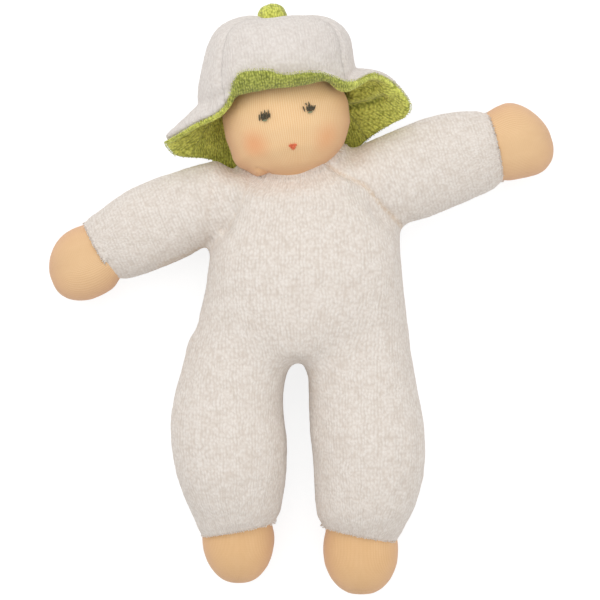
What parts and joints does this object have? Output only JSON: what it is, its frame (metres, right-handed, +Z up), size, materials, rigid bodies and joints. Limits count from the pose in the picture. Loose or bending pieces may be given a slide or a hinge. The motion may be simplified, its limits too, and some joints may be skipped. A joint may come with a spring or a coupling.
{
  "type": "rattle doll",
  "caption": "Stuffed cloth doll lying on its back: terry suit, jersey hands, feet and head, flower hat with turned petals, and a bead rattle in the chest.",
  "frame": {"origin": "middle of the flat of the back, on the surface that the doll lies on", "axes": "+Z up out of the chest and face, +Y towards the head, +X towards the doll's own left hand"},
  "size_m": [0.1721, 0.1987, 0.0566],
  "materials": {
    "terry_cream": "looped cotton terry",
    "terry_green": "looped cotton terry",
    "jersey_face": "fine cotton jersey",
    "jersey_hands": "fine cotton jersey",
    "wool": "carded wool",
    "thread_eye": "embroidery thread",
    "thread_mouth": "embroidery thread",
    "thread_tie": "strong cotton thread",
    "rattle_plastic": "matt",
    "bead_steel": "polished"
  },
  "bodies": {
    "trunk": {"torso_cover": "terry_cream", "torso_filling_front": "wool", "torso_filling_back": "wool", "rattle_case_base": "rattle_plastic", "rattle_case_lid": "rattle_plastic"},
    "head": {"head_skin": "jersey_face", "head_ball": "wool", "neck_tie": "thread_tie", "eye_left": "thread_eye", "eye_right": "thread_eye", "mouth": "thread_mouth", "hat_shell": "terry_cream", "hat_lining": "terry_green", "hat_stem": "terry_green", "crown_wadding": "wool"},
    "arm_left": {"sleeve_left": "terry_cream", "hand_left": "jersey_hands", "arm_filling_left": "wool"},
    "arm_right": {"sleeve_right": "terry_cream", "hand_right": "jersey_hands", "arm_filling_right": "wool"},
    "leg_left": {"trouser_left": "terry_cream", "foot_left": "jersey_hands", "leg_filling_left": "wool"},
    "leg_right": {"trouser_right": "terry_cream", "foot_right": "jersey_hands", "leg_filling_right": "wool"},
    "bead_1": {"rattle_bead_1": "bead_steel"},
    "bead_2": {"rattle_bead_2": "bead_steel"},
    "bead_3": {"rattle_bead_3": "bead_steel"},
    "bead_4": {"rattle_bead_4": "bead_steel"},
    "bead_5": {"rattle_bead_5": "bead_steel"},
    "bead_6": {"rattle_bead_6": "bead_steel"}
  },
  "joints": [
    {"name": "head_turn", "type": "hinge", "parent": "trunk", "child": "head", "pos_m": [-0.0046, 0.0612, 0.02596], "axis": [-0.1392, 0.9903, 0], "range_deg": [-15, 15], "stiffness_Nm_per_rad": 0.02},
    {"name": "arm_left_lift", "type": "hinge", "parent": "trunk", "child": "arm_left", "pos_m": [0.0248, 0.0383, 0.017], "axis": [0.2874, -0.9578, 0], "range_deg": [0, 60], "stiffness_Nm_per_rad": 0.01},
    {"name": "arm_right_lift", "type": "hinge", "parent": "trunk", "child": "arm_right", "pos_m": [-0.0274, 0.0338, 0.017], "axis": [-0.3665, 0.9304, 0], "range_deg": [0, 60], "stiffness_Nm_per_rad": 0.01},
    {"name": "leg_left_fold", "type": "hinge", "parent": "trunk", "child": "leg_left", "pos_m": [0.0202, -0.02, 0.0176], "axis": [-1, 0, 0], "range_deg": [0, 60], "stiffness_Nm_per_rad": 0.02},
    {"name": "leg_right_fold", "type": "hinge", "parent": "trunk", "child": "leg_right", "pos_m": [-0.0212, -0.02, 0.0176], "axis": [-1, 0, 0], "range_deg": [0, 60], "stiffness_Nm_per_rad": 0.02},
    {"name": "bead_1_bounce", "type": "slide", "parent": "trunk", "child": "bead_1", "axis": [0, 0, 1], "range_m": [0, 0.0064]},
    {"name": "bead_2_bounce", "type": "slide", "parent": "trunk", "child": "bead_2", "axis": [0, 0, 1], "range_m": [0, 0.0064]},
    {"name": "bead_3_bounce", "type": "slide", "parent": "trunk", "child": "bead_3", "axis": [0, 0, 1], "range_m": [0, 0.0064]},
    {"name": "bead_4_bounce", "type": "slide", "parent": "trunk", "child": "bead_4", "axis": [0, 0, 1], "range_m": [0, 0.0064]},
    {"name": "bead_5_bounce", "type": "slide", "parent": "trunk", "child": "bead_5", "axis": [0, 0, 1], "range_m": [0, 0.0064]},
    {"name": "bead_6_bounce", "type": "slide", "parent": "trunk", "child": "bead_6", "axis": [0, 0, 1], "range_m": [0, 0.0064]}
  ]
}
